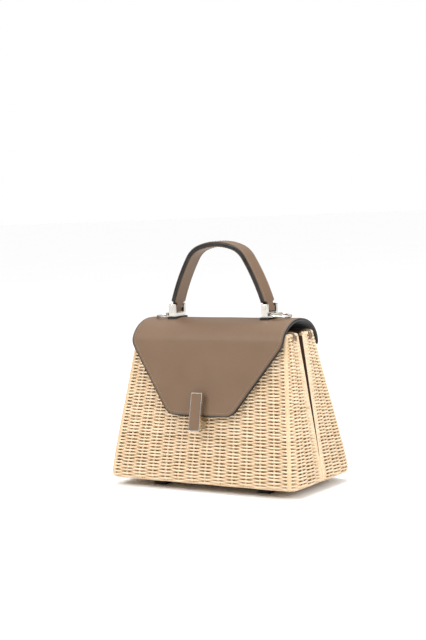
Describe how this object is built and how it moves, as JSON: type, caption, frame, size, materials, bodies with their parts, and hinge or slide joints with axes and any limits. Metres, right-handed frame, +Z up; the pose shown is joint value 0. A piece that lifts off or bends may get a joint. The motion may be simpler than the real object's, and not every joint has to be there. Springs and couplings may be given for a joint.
{
  "type": "basket box bag",
  "caption": "Small woven box bag: tapered wicker half shells, a leather flap with an arched top handle, a turning metal closure bar and D-rings for a strap.",
  "frame": {"origin": "On the ground, under the middle of the bag's footprint.", "axes": "+Z up through the handle, +X to the right along the long side, seen from the front; the flap's front and the closure face -Y."},
  "size_m": [0.2174, 0.1165, 0.2381],
  "materials": {
    "wicker": "satin",
    "thong": "satin",
    "leather": "satin",
    "dark_leather": "satin",
    "lining": "matte",
    "nickel": "polished",
    "foot": "satin"
  },
  "bodies": {
    "basket": {"front_shell": "wicker", "rear_shell": "wicker", "front_lining": "lining", "rear_lining": "lining", "left_gusset": "dark_leather", "right_gusset": "dark_leather", "base_board": "lining", "foot_front_left": "foot", "foot_front_right": "foot", "foot_rear_left": "foot", "foot_rear_right": "foot", "foot_screws": "nickel", "closure_plate": "nickel", "closure_backplate": "nickel", "closure_screws": "nickel", "front_left_tie": "thong", "front_right_tie": "thong", "rear_left_tie": "thong", "rear_right_tie": "thong", "rear_strip": "leather", "rear_rivets": "nickel"},
    "flap": {"flap_leather": "leather", "flap_lining": "dark_leather", "handle_strap": "leather", "left_stirrup": "nickel", "right_stirrup": "nickel", "left_handle_pin": "nickel", "right_handle_pin": "nickel", "left_pad": "dark_leather", "right_pad": "dark_leather", "left_ring_holder": "nickel", "right_ring_holder": "nickel", "left_backing_plate": "nickel", "right_backing_plate": "nickel", "stirrup_screws": "nickel", "closure_post": "nickel", "closure_washer": "nickel"},
    "turn_bar": {"closure_bar": "nickel", "closure_inlay": "leather"},
    "right_d_ring": {"right_ring": "nickel"},
    "left_d_ring": {"left_ring": "nickel"}
  },
  "joints": [
    {"name": "flap_hinge", "type": "hinge", "parent": "basket", "child": "flap", "pos_m": [0, 0.03197, 0.147], "axis": [-1, 0, 0], "range_deg": [0, 110]},
    {"name": "closure_turn", "type": "hinge", "parent": "flap", "child": "turn_bar", "pos_m": [0, -0.04777, 0.08052], "axis": [0, -0.9747, 0.2234], "range_deg": [0, 90]},
    {"name": "right_ring_swing", "type": "hinge", "parent": "flap", "child": "right_d_ring", "pos_m": [0.06175, 0, 0.1666], "axis": [0, -1, 0], "range_deg": [0, 100]},
    {"name": "left_ring_swing", "type": "hinge", "parent": "flap", "child": "left_d_ring", "pos_m": [-0.06175, 0, 0.1666], "axis": [0, 1, 0], "range_deg": [0, 100]}
  ]
}
